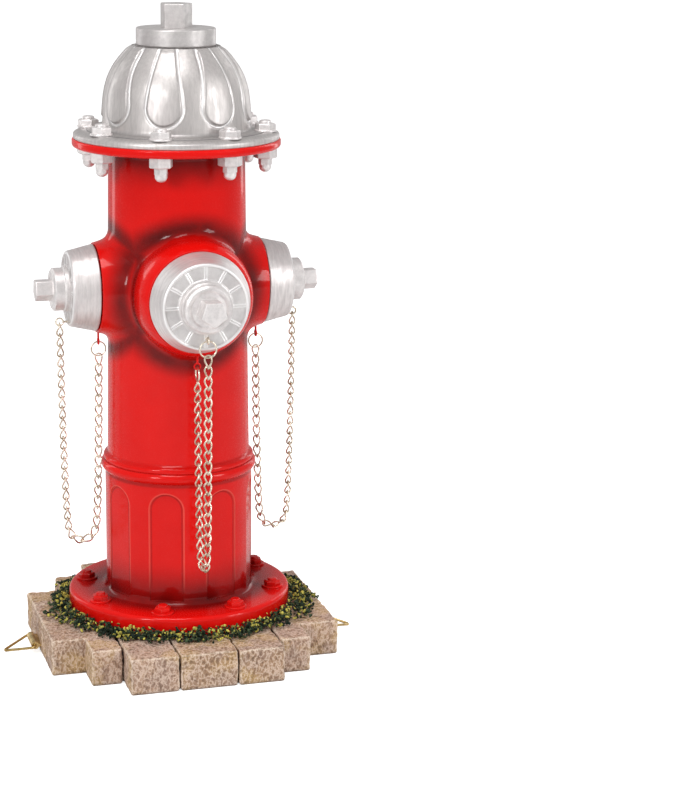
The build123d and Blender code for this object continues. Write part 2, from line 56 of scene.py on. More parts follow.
# %% Camera
camera_place = (-0.2712, -1.1960, 0.4498)
turn, tilt, roll = math.radians(17.12), math.radians(-13.88), math.radians(0.70)
forward = Vector((math.sin(turn) * math.cos(tilt), math.cos(turn) * math.cos(tilt), math.sin(tilt)))
level = Vector((math.cos(turn), -math.sin(turn), 0))
upright = level.cross(forward)
right = level * math.cos(roll) + upright * math.sin(roll)
above = upright * math.cos(roll) - level * math.sin(roll)

camera = bpy.data.objects.new("camera", bpy.data.cameras.new("camera"))
bpy.context.scene.collection.objects.link(camera)
camera.data.sensor_width = 36.0
camera.data.lens = 100.27
camera.matrix_world = Matrix((
    (right.x, above.x, -forward.x, camera_place[0]),
    (right.y, above.y, -forward.y, camera_place[1]),
    (right.z, above.z, -forward.z, camera_place[2]),
    (0, 0, 0, 1)))
bpy.context.scene.camera = camera
print("camera looks along", tuple(round(part, 3) for part in forward))

# %% [markdown]
# ## Studio
# The ornament stands on a white sweep under soft boxes. A large pale floor catches a faint contact shadow,
# and the world fills everything evenly, which the silver needs. Five area lights model the shape: two tall
# weak boxes behind the barrel draw its edges, two small strong boxes in front make the crisp spots on the
# gloss paint, and one stands above. The floor glows a little for the camera only, so that it renders white.

# %% Floor and lights
FLOOR_HALF, FLOOR_TONE, FLOOR_GLOW, WORLD_STRENGTH = 40.0, 0.86, 0.70, 0.50
floor_mesh = bpy.data.meshes.new("floor")
floor_mesh.from_pydata(
    [(-FLOOR_HALF, -FLOOR_HALF, 0), (FLOOR_HALF, -FLOOR_HALF, 0),
     (FLOOR_HALF, FLOOR_HALF, 0), (-FLOOR_HALF, FLOOR_HALF, 0)], [], [(0, 1, 2, 3)])
floor = bpy.data.objects.new("floor", floor_mesh)
bpy.context.scene.collection.objects.link(floor)
sweep = bpy.data.materials.new("white_sweep")
sweep.use_nodes = True
sweep_shader = sweep.node_tree.nodes["Principled BSDF"]
sweep_shader.inputs["Base Color"].default_value = (FLOOR_TONE, FLOOR_TONE, FLOOR_TONE, 1.0)
sweep_shader.inputs["Roughness"].default_value = 0.9
sweep_shader.inputs["Emission Color"].default_value = (1.0, 1.0, 1.0, 1.0)
seen = sweep.node_tree.nodes.new("ShaderNodeLightPath")
glow = sweep.node_tree.nodes.new("ShaderNodeMath")
glow.operation = "MULTIPLY"
glow.inputs[1].default_value = FLOOR_GLOW
sweep.node_tree.links.new(seen.outputs["Is Camera Ray"], glow.inputs[0])
sweep.node_tree.links.new(glow.outputs[0], sweep_shader.inputs["Emission Strength"])
floor_mesh.materials.append(sweep)

world = bpy.data.worlds.new("studio")
world.use_nodes = True
background = world.node_tree.nodes["Background"]
background.inputs["Color"].default_value = (1.0, 1.0, 1.0, 1.0)
background.inputs["Strength"].default_value = WORLD_STRENGTH
bpy.context.scene.world = world
bpy.context.scene.view_settings.view_transform = "Standard"


def soft_box(name, place, target, width, height, power):
    """An area light at place that faces target."""
    light = bpy.data.lights.new(name, "AREA")
    light.shape = "RECTANGLE"
    light.size, light.size_y, light.energy = width, height, power
    box = bpy.data.objects.new(name, light)
    bpy.context.scene.collection.objects.link(box)
    box.location = place
    box.rotation_euler = (Vector(target) - Vector(place)).to_track_quat("-Z", "Y").to_euler()
    return box


middle = (0, 0, 0.19)
soft_box("left_rim_box", (-0.80, 1.05, 0.45), middle, 0.25, 0.9, 1.8)
soft_box("right_rim_box", (1.05, 0.80, 0.50), middle, 0.25, 0.9, 2.0)
soft_box("left_key_box", (-1.15, -1.05, 0.80), middle, 0.36, 0.46, 9.0)
soft_box("right_fill_box", (1.10, -0.95, 0.62), middle, 0.42, 0.55, 6.8)
soft_box("top_box", (-0.25, -0.45, 1.5), middle, 0.6, 0.6, 9.0)

# %% [markdown]
# ## Helpers for shader nodes
# A procedural finish is arithmetic on the position of a point. These helpers add one node each and return
# its output socket, so that a finish reads like a formula instead of a web of wires.

# %% Node helpers


def put(tree, socket, value):
    """Link a socket to another socket, or give it a plain value."""
    if isinstance(value, bpy.types.NodeSocket):
        tree.links.new(value, socket)
    elif value is not None:
        socket.default_value = value


def calc(tree, operation, *values, clamp=False):
    """One step of arithmetic."""
    node = tree.nodes.new("ShaderNodeMath")
    node.operation, node.use_clamp = operation, clamp
    for socket, value in zip(node.inputs, values):
        put(tree, socket, value)
    return node.outputs[0]


def rise(tree, value, low, high, start=0.0, end=1.0):
    """A smooth step: start below low, end above high, an S-curve between."""
    node = tree.nodes.new("ShaderNodeMapRange")
    node.interpolation_type = "SMOOTHSTEP"
    for socket, number in zip(node.inputs, (value, low, high, start, end)):
        put(tree, socket, number)
    return node.outputs[0]


def mix(tree, factor, first, second, how="MIX"):
    """Blend two colours."""
    node = tree.nodes.new("ShaderNodeMix")
    node.data_type, node.blend_type = "RGBA", how
    node.clamp_factor = True
    put(tree, node.inputs[0], factor)
    put(tree, node.inputs[6], first)
    put(tree, node.inputs[7], second)
    return node.outputs[2]


def stretched(tree, scale=(1, 1, 1)):
    """Object coordinates, stretched."""
    place = tree.nodes.new("ShaderNodeTexCoord")
    mapping = tree.nodes.new("ShaderNodeMapping")
    mapping.inputs["Scale"].default_value = scale
    tree.links.new(place.outputs["Object"], mapping.inputs["Vector"])
    return mapping.outputs[0]


def cloud(tree, vector, scale, detail=3.0, roughness=0.55):
    """Smooth noise from 0 to 1."""
    node = tree.nodes.new("ShaderNodeTexNoise")
    for name, value in (("Vector", vector), ("Scale", scale), ("Detail", detail), ("Roughness", roughness)):
        put(tree, node.inputs[name], value)
    return node.outputs[0]


def attribute(tree, name):
    """A number stored on the mesh."""
    node = tree.nodes.new("ShaderNodeAttribute")
    node.attribute_name = name
    return node.outputs["Fac"]


def bumpy(tree, height, distance, strength=1.0, normal=None):
    """Turn a height into a tilted normal."""
    node = tree.nodes.new("ShaderNodeBump")
    node.inputs["Strength"].default_value = strength
    node.inputs["Distance"].default_value = distance
    tree.links.new(height, node.inputs["Height"])
    if normal is not None:
        tree.links.new(normal, node.inputs["Normal"])
    return node.outputs[0]


def new_material(name, constants):
    """A material with its shader; constants are set on the shader's own sockets."""
    material = bpy.data.materials.new(name)
    material.use_nodes = True
    shader = material.node_tree.nodes["Principled BSDF"]
    for socket, value in constants.items():
        shader.inputs[socket].default_value = value
    return material, material.node_tree, shader


print("helpers ready")

# %% [markdown]
# ## Effects that several finishes share
# Three effects come back in several finishes: edges painted lighter as a highlight, fine unevenness in the
# coat, and painted shade in the low places. The first two are one node group each, built once.
# The edge group compares the true normal with one rounded by a small bevel: where they differ is an edge.

# %% Shared node groups


def new_group(name, inputs, outputs):
    """An empty shader node group with number inputs {name: default} and outputs {name: socket type}."""
    group = bpy.data.node_groups.new(name, "ShaderNodeTree")
    for label, default in inputs.items():
        socket = group.interface.new_socket(label, in_out="INPUT", socket_type="NodeSocketFloat")
        socket.default_value = default
    for label, kind in outputs.items():
        group.interface.new_socket(label, in_out="OUTPUT", socket_type=kind)
    return group, group.nodes.new("NodeGroupInput"), group.nodes.new("NodeGroupOutput")


def edge_group():
    """Mask of edges and the rounded normal: one minus the dot of the true and the bevelled normal."""
    group, given, result = new_group("soft_edges", {"Radius": 0.0006}, {
        "Edge": "NodeSocketFloat", "Normal": "NodeSocketVector"})
    bevel = group.nodes.new("ShaderNodeBevel")
    bevel.samples = 6
    group.links.new(given.outputs["Radius"], bevel.inputs["Radius"])
    geometry = group.nodes.new("ShaderNodeNewGeometry")
    dot = group.nodes.new("ShaderNodeVectorMath")
    dot.operation = "DOT_PRODUCT"
    group.links.new(bevel.outputs[0], dot.inputs[0])
    group.links.new(geometry.outputs["Normal"], dot.inputs[1])
    edge = rise(group, calc(group, "SUBTRACT", 1.0, dot.outputs["Value"]), 0.02, 0.22)
    group.links.new(edge, result.inputs["Edge"])
    group.links.new(bevel.outputs[0], result.inputs["Normal"])
    return group


def unevenness_group():
    """Two clouds, one broad and one fine, for colour drift and for the height of a hand-laid coat."""
    group, given, result = new_group("uneven_coat", {"Broad": 25.0, "Fine": 900.0}, {
        "Drift": "NodeSocketFloat", "Height": "NodeSocketFloat"})
    place = stretched(group)
    group.links.new(cloud(group, place, given.outputs["Broad"], 4.0), result.inputs["Drift"])
    group.links.new(cloud(group, place, given.outputs["Fine"], 2.0), result.inputs["Height"])
    return group


soft_edges, uneven_coat = edge_group(), unevenness_group()


def placed(tree, group, **values):
    """One use of a node group, with its own values."""
    node = tree.nodes.new("ShaderNodeGroup")
    node.node_tree = group
    for name, value in values.items():
        node.inputs[name].default_value = value
    return node


print("groups", [group.name for group in bpy.data.node_groups])

# %% [markdown]
# ## Red gloss paint with painted shade
# The barrel is a bright gloss red. A dark brownish painted shade lies where shadow would gather: at the
# foot and on the flange round it, round each nozzle boss, under the top flange and along the bead.
# Each patch of painted shade is a formula in the distance to the barrel axis or to a nozzle axis, so the
# material needs no painting by hand and stays the same for both castings. All edges and the outline of the
# arched panels get a painted highlight, with a painted shade line just inside each arch. The gloss comes
# from a thin clear coat over a dull base.

# %% Red paint
NOZZLE_AXIS = 210.5                                # millimetres above the ground
NOZZLE_HEIGHT = NOZZLE_AXIS * MM
ARCH_PITCH, ARCH_HALF, ARCH_SPRING = math.radians(45.0), 9.7 * MM, 88.2 * MM
ARCH_TURN = math.radians(67.5)
BEAD_FOOT, BEAD_SEAM, BEAD_TOP = 102.6 * MM, 109.6 * MM, 113.4 * MM
RED_DEEP, RED_BRIGHT = (0.60, 0.003, 0.002, 1), (0.74, 0.006, 0.004, 1)
# Painted highlight colours: for all edges, and for the outline of the arches.
RED_EDGE_HIGHLIGHT, RED_PAINTED_HIGHLIGHT = (0.86, 0.09, 0.07, 1), (0.90, 0.15, 0.11, 1)
# Painted shade colours: the line just inside the arches and the places where shade falls, then the strength
# of the painted shade.
RED_PAINTED_CREASE_SHADE, RED_PAINTED_SHADE, PAINTED_SHADE_STRENGTH = (0.22, 0.001, 0.001, 1), (0.045, 0.002, 0.002, 1), 0.92


def distance(tree, first, second):
    """The root of the sum of two squares."""
    return calc(tree, "SQRT", calc(tree, "ADD", calc(tree, "MULTIPLY", first, first),
                                   calc(tree, "MULTIPLY", second, second)))


def gap_to(tree, value, number):
    """How far a value is from a number, without sign."""
    return calc(tree, "ABSOLUTE", calc(tree, "SUBTRACT", value, number))


def arch_line(tree, x, y, z, axis_distance, half):
    """A thin line along the outline of the arched panels: straight sides and a half circle on top."""
    angle = calc(tree, "ARCTAN2", y, x)
    local = calc(tree, "WRAP", calc(tree, "ADD", angle, ARCH_TURN), ARCH_PITCH / 2, -ARCH_PITCH / 2)
    across = calc(tree, "MULTIPLY", calc(tree, "SINE", local), axis_distance)
    climb = calc(tree, "MAXIMUM", calc(tree, "SUBTRACT", z, ARCH_SPRING), 0.0)
    reach = distance(tree, across, climb)
    line = rise(tree, gap_to(tree, reach, half), 0.15 * MM, 0.75 * MM, 1.0, 0.0)
    here = calc(tree, "MULTIPLY", rise(tree, z, 99.5 * MM, 100.5 * MM, 1.0, 0.0),
                rise(tree, z, 38 * MM, 46 * MM))
    return calc(tree, "MULTIPLY", line, here)


def red_paint():
    """Red that drifts a little, darkened by the strongest painted shade, with painted highlights on edges and
    arch lines and a painted shade line inside the arches.
    """
    material, tree, shader = new_material(
        "red_gloss_paint", {"Specular IOR Level": 0.05, "Coat Weight": 0.32, "Coat Roughness": 0.07})
    split = tree.nodes.new("ShaderNodeSeparateXYZ")
    tree.links.new(stretched(tree), split.inputs[0])
    x, y, z = split.outputs
    height = calc(tree, "SUBTRACT", z, NOZZLE_HEIGHT)

    axis_distance = distance(tree, x, y)
    # Painted shade at the barrel foot and on the flange round it, reaching farther out at the back.
    spread = rise(tree, y, -60 * MM, 15 * MM, 57 * MM, 72 * MM)
    foot = calc(tree, "MULTIPLY", rise(tree, z, 33 * MM, 60 * MM, 1.0, 0.0),
                rise(tree, axis_distance, 43 * MM, spread, 1.0, 0.0))
    # Painted shade under the top flange.
    under_flange = calc(tree, "MULTIPLY", rise(tree, z, 266 * MM, 289 * MM),
                        rise(tree, axis_distance, 43 * MM, 57 * MM, 1.0, 0.0))

    def round_boss(rho, mask, crease, reach):
        """Painted shade that rises just before the crease of a boss and fades away from it."""
        inner = rise(tree, rho, crease - 6 * MM, crease)
        outer = rise(tree, rho, crease + 1 * MM, crease + reach, 1.0, 0.0)
        return calc(tree, "MULTIPLY", calc(tree, "MULTIPLY", inner, outer), mask)

    # Painted shade round the creases of the side and front nozzle bosses.
    side_mask = calc(tree, "MULTIPLY", rise(tree, calc(tree, "ABSOLUTE", x), 9 * MM, 22 * MM),
                     rise(tree, calc(tree, "ABSOLUTE", x), 40 * MM, 46 * MM, 1.0, 0.0))
    front_mask = calc(tree, "MULTIPLY", rise(tree, y, -16 * MM, -4 * MM, 1.0, 0.0),
                      rise(tree, y, -50 * MM, -43 * MM))
    side = round_boss(distance(tree, y, height), side_mask, 34 * MM, 10 * MM)
    front = round_boss(distance(tree, x, height), front_mask, 37 * MM, 12 * MM)
    # Painted shade along the foot and the top of the bead and along the seam between the castings.
    bead = calc(tree, "MULTIPLY", rise(tree, gap_to(tree, z, BEAD_FOOT), 0.3 * MM, 1.8 * MM, 0.5, 0.0),
                rise(tree, axis_distance, 42.6 * MM, 43.4 * MM, 1.0, 0.0))
    above_bead = rise(tree, gap_to(tree, z, BEAD_TOP), 0.3 * MM, 1.8 * MM, 0.22, 0.0)
    seam = rise(tree, gap_to(tree, z, BEAD_SEAM), 0.1 * MM, 0.6 * MM, 0.25, 0.0)
    # The strongest painted shade is kept, broken up a little by the drift of the coat.
    shade = foot
    for painted_shade_part in (under_flange, side, front, bead, above_bead, seam):
        shade = calc(tree, "MAXIMUM", shade, painted_shade_part)
    coat = placed(tree, uneven_coat, Broad=38.0, Fine=1400.0)
    patchy = rise(tree, coat.outputs["Drift"], 0.3, 0.7, 0.72, 1.0)
    shade = calc(tree, "MULTIPLY", calc(tree, "MULTIPLY", shade, patchy), PAINTED_SHADE_STRENGTH)
    red = mix(tree, coat.outputs["Drift"], RED_DEEP, RED_BRIGHT)
    edge = placed(tree, soft_edges, Radius=0.9 * MM)
    # Painted highlight on all edges.
    red = mix(tree, calc(tree, "MULTIPLY", edge.outputs["Edge"], 0.45), red, RED_EDGE_HIGHLIGHT)
    # A painted highlight along the outline of each arch and a painted shade line just inside it.
    painted_highlight_mask = arch_line(tree, x, y, z, axis_distance, ARCH_HALF + 0.2 * MM)
    crease = arch_line(tree, x, y, z, axis_distance, ARCH_HALF - 0.9 * MM)
    red = mix(tree, calc(tree, "MULTIPLY", crease, 0.45), red, RED_PAINTED_CREASE_SHADE)
    red = mix(tree, calc(tree, "MULTIPLY", painted_highlight_mask, 0.40), red, RED_PAINTED_HIGHLIGHT)
    # The painted shade darkens the red last.
    put(tree, shader.inputs["Base Color"], mix(tree, shade, red, RED_PAINTED_SHADE))
    put(tree, shader.inputs["Roughness"], rise(tree, coat.outputs["Height"], 0.2, 0.8, 0.22, 0.30))
    put(tree, shader.inputs["Normal"],
        bumpy(tree, coat.outputs["Height"], 0.05 * MM, 0.35, edge.outputs["Normal"]))
    return material


red = red_paint()
print("made", red.name)

# %% [markdown]
# ## Silver paint
# The bonnet, caps and nuts are brushed with a satin silver that has metal flakes in it. The strokes follow
# each piece, so the noise is stretched along the piece's own direction: upright on the bonnet, round the
# caps. A warm grey painted shade darkens the recesses and a painted highlight brightens the raised lines,
# read from the numbers "hollow" and "ridge" that are stored on the modelled pieces. Edges get a painted
# highlight too.

# %% Silver paint
DULL_SHARE = 0.78                                  # how dark a dull stroke is beside a bright one
# Tone drift and painted shade for the hollows; on the next line, painted highlights for ridges and edges.
SILVER_DRIFT, SILVER_PAINTED_SHADE = (0.46, 0.40, 0.41, 1), (0.115, 0.105, 0.11, 1)
SILVER_RIDGE_HIGHLIGHT, SILVER_EDGE_HIGHLIGHT = (0.95, 0.94, 0.94, 1), (0.96, 0.95, 0.95, 1)


def silver_paint(name, stretch, hollow=True, tint=(0.76, 0.72, 0.71, 1)):
    """Strokes of dull and bright silver, with painted shade in hollows and painted highlights on ridges and
    edges.
    """
    material, tree, shader = new_material(name, {"Specular IOR Level": 0.5})
    strokes = cloud(tree, stretched(tree, stretch), 420.0, 4.0, 0.65)
    coat = placed(tree, uneven_coat, Broad=60.0, Fine=1500.0)
    edge = placed(tree, soft_edges, Radius=0.5 * MM)
    dull = tuple(DULL_SHARE * part for part in tint[:3]) + (1,)
    colour = mix(tree, rise(tree, strokes, 0.30, 0.70), dull, tint)
    colour = mix(tree, rise(tree, coat.outputs["Drift"], 0.45, 0.75, 0.0, 0.30), colour, SILVER_DRIFT)
    # Painted shade in the hollows and a painted highlight on the ridges.
    if hollow:
        colour = mix(tree, calc(tree, "MULTIPLY", attribute(tree, "hollow"), 0.75), colour, SILVER_PAINTED_SHADE)
        colour = mix(tree, calc(tree, "MULTIPLY", attribute(tree, "ridge"), 0.8), colour, SILVER_RIDGE_HIGHLIGHT)
    # Painted highlight on the edges.
    colour = mix(tree, calc(tree, "MULTIPLY", edge.outputs["Edge"], 0.75), colour, SILVER_EDGE_HIGHLIGHT)
    put(tree, shader.inputs["Base Color"], colour)
    put(tree, shader.inputs["Metallic"], rise(tree, strokes, 0.2, 0.8, 0.62, 0.78))
    put(tree, shader.inputs["Roughness"], rise(tree, strokes, 0.25, 0.75, 0.50, 0.38))
    height = calc(tree, "ADD", strokes, calc(tree, "MULTIPLY", coat.outputs["Height"], 0.4))
    put(tree, shader.inputs["Normal"], bumpy(tree, height, 0.08 * MM, 0.28, edge.outputs["Normal"]))
    return material


# Lighter and darker copies of the one silver paint: the bonnet and the top nut darker, the front cap and the
# small parts lighter, painted light and shade for how the light falls on each piece.
silver_bonnet = silver_paint("silver_brushed_upright", (1.0, 1.0, 0.16), tint=(0.64, 0.605, 0.59, 1))
silver_side_cap = silver_paint("silver_brushed_round_side", (1.6, 0.22, 0.22))
silver_front_cap = silver_paint("silver_brushed_round_front", (0.22, 1.6, 0.22), tint=(0.86, 0.83, 0.82, 1))
silver_top = silver_paint("silver_brushed_top", (0.6, 0.6, 0.6), hollow=False, tint=(0.65, 0.62, 0.61, 1))
silver_plain = silver_paint("silver_brushed_small", (0.6, 0.6, 0.6), hollow=False, tint=(0.86, 0.82, 0.81, 1))
for finish in (silver_bonnet, silver_side_cap, silver_front_cap, silver_top, silver_plain):
    print("made", finish.name)

# %% [markdown]
# ## Stone and moss
# The base is painted like old pavers: a pinkish-grey and tan mottle that differs from block to block, with
# ochre patches. A pale colour is dry-brushed over it, so it stays on the fine raised ridges, and the pits
# between the ridges stay dark. The upper and upright edges of the blocks are lightened further, dry-brushed
# and partly a painted highlight. A ridge is where a noise is near its middle value.
# Moss runs from nearly black green to yellow-green tips.

# %% Stone and moss
STONE_TAN, STONE_PINK = (0.38, 0.235, 0.135, 1), (0.54, 0.355, 0.265, 1)
STONE_SHADE, STONE_OCHRE = (0.34, 0.235, 0.19, 1), (0.52, 0.34, 0.15, 1)
STONE_PIT, STONE_RIDGE = (0.15, 0.09, 0.06, 1), (0.80, 0.64, 0.53, 1)
STONE_RIM_DRYBRUSH_AND_HIGHLIGHT, STONE_DARK_JOINTS_PITS_AND_BOTTOM = (0.84, 0.71, 0.58, 1), (0.045, 0.030, 0.026, 1)
MOSS_DARK, MOSS_GREEN = (0.008, 0.018, 0.012, 1), (0.060, 0.095, 0.045, 1)
MOSS_TIP, MOSS_SPECK = (0.62, 0.56, 0.11, 1), (0.010, 0.016, 0.006, 1)


def stone_paint():
    """Mottled stone: dark pits, dry-brushed ridges, rims dry-brushed and partly a painted highlight, dark
    joints.
    """
    material, tree, shader = new_material("paver_stone", {"Specular IOR Level": 0.25})
    place = stretched(tree)
    tone, rim = attribute(tree, "tone"), attribute(tree, "rim")
    mottle = cloud(tree, place, 55.0, 4.0, 0.6)
    fine = cloud(tree, stretched(tree, (1.0, 1.0, 0.7)), 400.0, 4.0, 0.60)
    wrinkle = calc(tree, "MULTIPLY", gap_to(tree, fine, 0.5), 5.0, clamp=True)
    ochre = cloud(tree, stretched(tree, (1.0, 1.3, 0.8)), 38.0, 3.0, 0.6)
    base = mix(tree, tone, STONE_TAN, STONE_PINK)
    base = mix(tree, rise(tree, mottle, 0.38, 0.60, 0.6, 0.0), base, STONE_SHADE)
    base = mix(tree, rise(tree, ochre, 0.47, 0.60, 0.0, 0.80), base, STONE_OCHRE)
    base = mix(tree, rise(tree, wrinkle, 0.35, 0.90, 0.0, 0.65), base, STONE_PIT)
    base = mix(tree, rise(tree, wrinkle, 0.04, 0.34, 0.62, 0.0), base, STONE_RIDGE)
    # Upper and upright block edges lightened: dry-brushed and partly a painted highlight.
    base = mix(tree, calc(tree, "MULTIPLY", rim, rise(tree, wrinkle, 0.1, 0.4, 0.80, 0.35)), base, STONE_RIM_DRYBRUSH_AND_HIGHLIGHT)
    # The joints are dark; the cast pits and the lowest 1.6 mm of each block take the same dark colour, darker
    # towards the bottom.
    base = mix(tree, attribute(tree, "hollow"), base, STONE_DARK_JOINTS_PITS_AND_BOTTOM)
    put(tree, shader.inputs["Base Color"], base)
    put(tree, shader.inputs["Roughness"], rise(tree, wrinkle, 0.2, 0.7, 0.82, 0.62))
    height = calc(tree, "SUBTRACT", calc(tree, "MULTIPLY", mottle, 0.5), wrinkle)
    put(tree, shader.inputs["Normal"], bumpy(tree, height, 0.7 * MM, 0.8))
    return material


def moss_paint():
    """From dark green through green to yellow by the stored tip value, with fine dark specks."""
    material, tree, shader = new_material("moss_tufts", {"Specular IOR Level": 0.2})
    tip = attribute(tree, "tip")
    speck = cloud(tree, stretched(tree), 600.0, 3.0, 0.6)
    green = mix(tree, rise(tree, tip, 0.15, 0.55), MOSS_DARK, MOSS_GREEN)
    green = mix(tree, rise(tree, tip, 0.52, 0.80), green, MOSS_TIP)
    green = mix(tree, rise(tree, speck, 0.45, 0.6, 0.0, 0.5), green, MOSS_SPECK)
    put(tree, shader.inputs["Base Color"], green)
    put(tree, shader.inputs["Roughness"], rise(tree, speck, 0.3, 0.7, 0.55, 0.9))
    put(tree, shader.inputs["Normal"], bumpy(tree, speck, 0.5 * MM, 0.6))
    return material


stone, moss = stone_paint(), moss_paint()
print("made", stone.name, moss.name)

# %% [markdown]
# ## Chain metal and brass
# The chains are thin plated wire with a warm pale tone, and the stake loops are brass wire in a folded
# sleeve. Both are plain metal; only the tone drifts a little and fine draw marks break up the reflection.

# %% Chain metal and brass


def wire_metal(name, dark, bright, roughness):
    """Drawn and plated wire: metal with a slightly patchy tone and faint draw marks."""
    material, tree, shader = new_material(name, {"Metallic": 1.0})
    coat = placed(tree, uneven_coat, Broad=160.0, Fine=1800.0)
    drift = rise(tree, coat.outputs["Drift"], 0.35, 0.65)
    put(tree, shader.inputs["Base Color"], mix(tree, drift, dark, bright))
    put(tree, shader.inputs["Roughness"],
        rise(tree, coat.outputs["Height"], 0.3, 0.7, roughness - 0.06, roughness + 0.08))
    put(tree, shader.inputs["Normal"], bumpy(tree, coat.outputs["Height"], 0.03 * MM, 0.4))
    return material


chain_metal = wire_metal("warm_plated_wire", (0.55, 0.46, 0.35, 1), (0.92, 0.84, 0.71, 1), 0.28)
brass = wire_metal("brass_wire", (0.44, 0.30, 0.11, 1), (0.72, 0.54, 0.25, 1), 0.30)
print("made", chain_metal.name, brass.name)

# %% [markdown]
# ## Surfaces from arrays
# Every new piece is computed as whole arrays. A grid of points, closed in one or both directions, is enough
# for everything that is turned or bent along a path. Small numbers stored per point travel with the mesh and
# steer the finish, for example "hollow" for how deep a point lies in a recess.

# %% Mesh helpers


def grid_faces(rows, columns, close_rows=False, close_columns=False):
    """Quads between neighbouring points of a grid, wrapping round where a direction is closed."""
    row = np.arange(rows if close_rows else rows - 1)[:, None]
    column = np.arange(columns if close_columns else columns - 1)[None, :]
    next_row, next_column = (row + 1) % rows, (column + 1) % columns
    corners = (row * columns + column, row * columns + next_column,
               next_row * columns + next_column, next_row * columns + column)
    spread = [np.broadcast_to(corner, (row.size, column.size)) for corner in corners]
    return np.stack(spread, -1).reshape(-1, 4)


def new_piece(name, points, faces, material, body=HYDRANT, numbers=None, smooth=True):
    """Put arrays into a mesh object at the origin, in metres, riding on a body."""
    mesh = bpy.data.meshes.new(name)
    points = np.ascontiguousarray(points, dtype=np.float32).reshape(-1, 3)
    sides = faces.shape[1]
    mesh.vertices.add(len(points))
    mesh.vertices.foreach_set("co", points.ravel())
    mesh.loops.add(faces.size)
    mesh.loops.foreach_set("vertex_index", faces.astype(np.int32).ravel())
    mesh.polygons.add(len(faces))
    mesh.polygons.foreach_set("loop_start", np.arange(0, faces.size, sides, dtype=np.int32))
    mesh.polygons.foreach_set("use_smooth", np.full(len(faces), smooth))
    for label, values in (numbers or {}).items():
        layer = mesh.attributes.new(label, "FLOAT", "POINT")
        layer.data.foreach_set("value", np.ascontiguousarray(values, dtype=np.float32).ravel())
    mesh.update(calc_edges=True)
    mesh.validate()
    mesh.materials.append(material)
    piece = bpy.data.objects.new(name, mesh)
    bpy.context.scene.collection.objects.link(piece)
    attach(piece, body)
    print(name, len(points), "points", len(faces), "faces")
    return piece


def facing_out(points, faces):
    """Faces turned so that the closed surface they form has a positive volume."""
    a, b, c = (points.reshape(-1, 3)[faces[:, corner]] for corner in (0, 1, 2))
    d = points.reshape(-1, 3)[faces[:, -1]]
    volume = (np.cross(a, b) * c).sum() + ((np.cross(a, c) * d).sum() if faces.shape[1] == 4 else 0)
    return faces if volume > 0 else faces[:, ::-1]


def waves(points, size, seed, count=14):
    """Smooth unevenness between about -1 and 1: a sum of sine waves of random direction and phase."""
    draw = np.random.default_rng(seed)
    direction = draw.normal(size=(count, 3))
    direction /= np.linalg.norm(direction, axis=1, keepdims=True)
    length = size * draw.uniform(0.6, 1.7, count)
    phase = draw.uniform(0, 2 * np.pi, count)
    return np.sin(points @ (direction * (2 * np.pi / length)[:, None]).T + phase).sum(-1) / np.sqrt(count)


def refined(outline, step):
    """The corner points of an outline with points added between them, at most a step apart."""
    outline = np.asarray(outline, float)
    ahead = np.roll(outline, -1, axis=0)
    gaps = np.maximum(1, np.ceil(np.linalg.norm(ahead - outline, axis=1) / step)).astype(int)
    owner = np.repeat(np.arange(len(outline)), gaps)
    share = (np.arange(gaps.sum()) - np.repeat(np.cumsum(gaps) - gaps, gaps)) / gaps[owner]
    return outline[owner] + (ahead[owner] - outline[owner]) * share[:, None]


def smooth_line(knots, steps):
    """A natural cubic spline through the knots, sampled evenly by chord length."""
    knots = np.asarray(knots, float)
    s = np.concatenate([[0], np.cumsum(np.linalg.norm(np.diff(knots, axis=0), axis=1))])
    h = np.diff(s)[:, None]
    count = len(knots)
    matrix, known = np.eye(count), np.zeros_like(knots)
    inner = np.arange(1, count - 1)
    matrix[inner, inner - 1], matrix[inner, inner] = h[:-1, 0], 2 * (h[:-1, 0] + h[1:, 0])
    matrix[inner, inner + 1] = h[1:, 0]
    known[1:-1] = 6 * (np.diff(knots, axis=0)[1:] / h[1:] - np.diff(knots, axis=0)[:-1] / h[:-1])
    bend = np.linalg.solve(matrix, known)
    t = np.linspace(0, s[-1], steps)
    k = np.clip(np.searchsorted(s, t, side="right") - 1, 0, count - 2)
    a, b = (s[k + 1] - t)[:, None], (t - s[k])[:, None]
    return (bend[k] * a ** 3 + bend[k + 1] * b ** 3) / (6 * h[k]) \
        + (knots[k] / h[k] - bend[k] * h[k] / 6) * a + (knots[k + 1] / h[k] - bend[k + 1] * h[k] / 6) * b


print("helpers ready")

# %% [markdown]
# ## Bonnet
# The bonnet is a turned dome with eight teardrop panels pressed into it, each outlined by a raised bead.
# It could be sculpted, but every feature follows from where a point lies across its nearest panel. So the
# dome is a turned grid and each point moves along the surface normal: inwards inside the teardrop, outwards
# on the line round it. Outlines are pairs of (radius, height) in millimetres.

# %% Bonnet
DOME_TOP = 345.0
dome_knots = [(41.4, 301.5), (40.7, 310), (38.7, 323.6), (34.3, 333.6), (24.6, DOME_TOP)]
PANEL_COUNT, PANEL_TURN = 8, math.radians(-67.5)
PANEL_ROUND, PANEL_BOTTOM, PANEL_TOP_HALF = 10.5, 303.6, 4.6
PANEL_DEPTH, BEAD_HEIGHT, BEAD_HALF = 0.9, 0.75, 0.60


def teardrop_distance(across, height):
    """Distance outside the teardrop, negative inside: a half circle below, sides that lean in above."""
    centre = PANEL_BOTTOM + PANEL_ROUND
    below = np.hypot(across, height - centre) - PANEL_ROUND
    climb = np.clip((height - centre) / (DOME_TOP - centre), 0, 1.2)
    half = PANEL_ROUND + (PANEL_TOP_HALF - PANEL_ROUND) * climb ** 1.25
    return np.where(height < centre, below, np.abs(across) - half)


